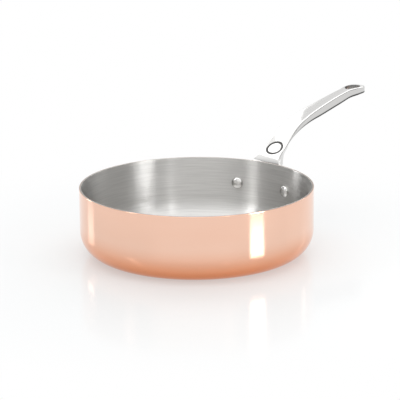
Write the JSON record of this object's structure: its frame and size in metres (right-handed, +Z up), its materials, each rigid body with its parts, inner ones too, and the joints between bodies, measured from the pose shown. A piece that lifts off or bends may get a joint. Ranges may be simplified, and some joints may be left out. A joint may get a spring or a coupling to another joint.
{
  "type": "saute pan",
  "caption": "Open straight-sided copper saute pan with a bonded brushed steel lining and an arched cast handle, riveted on, with a hanging hole at its end.",
  "frame": {"origin": "centre of the flat base, on the surface that the pan stands on", "axes": "+X along the handle away from the pan, +Z up out of the pan, +Y across the handle to make the frame right-handed"},
  "size_m": [0.4309, 0.24, 0.1229],
  "materials": {
    "polished_copper": "bright polished copper, fine lines round the pan",
    "brushed_lining": "stainless steel brushed round the pan",
    "polished_casting": "polished cast stainless steel",
    "rivet_steel": "polished stainless steel"
  },
  "bodies": {
    "root": {"copper_shell": "polished_copper", "steel_lining": "brushed_lining", "handle": "polished_casting", "rivet_left": "rivet_steel", "rivet_right": "rivet_steel"}
  },
  "joints": []
}
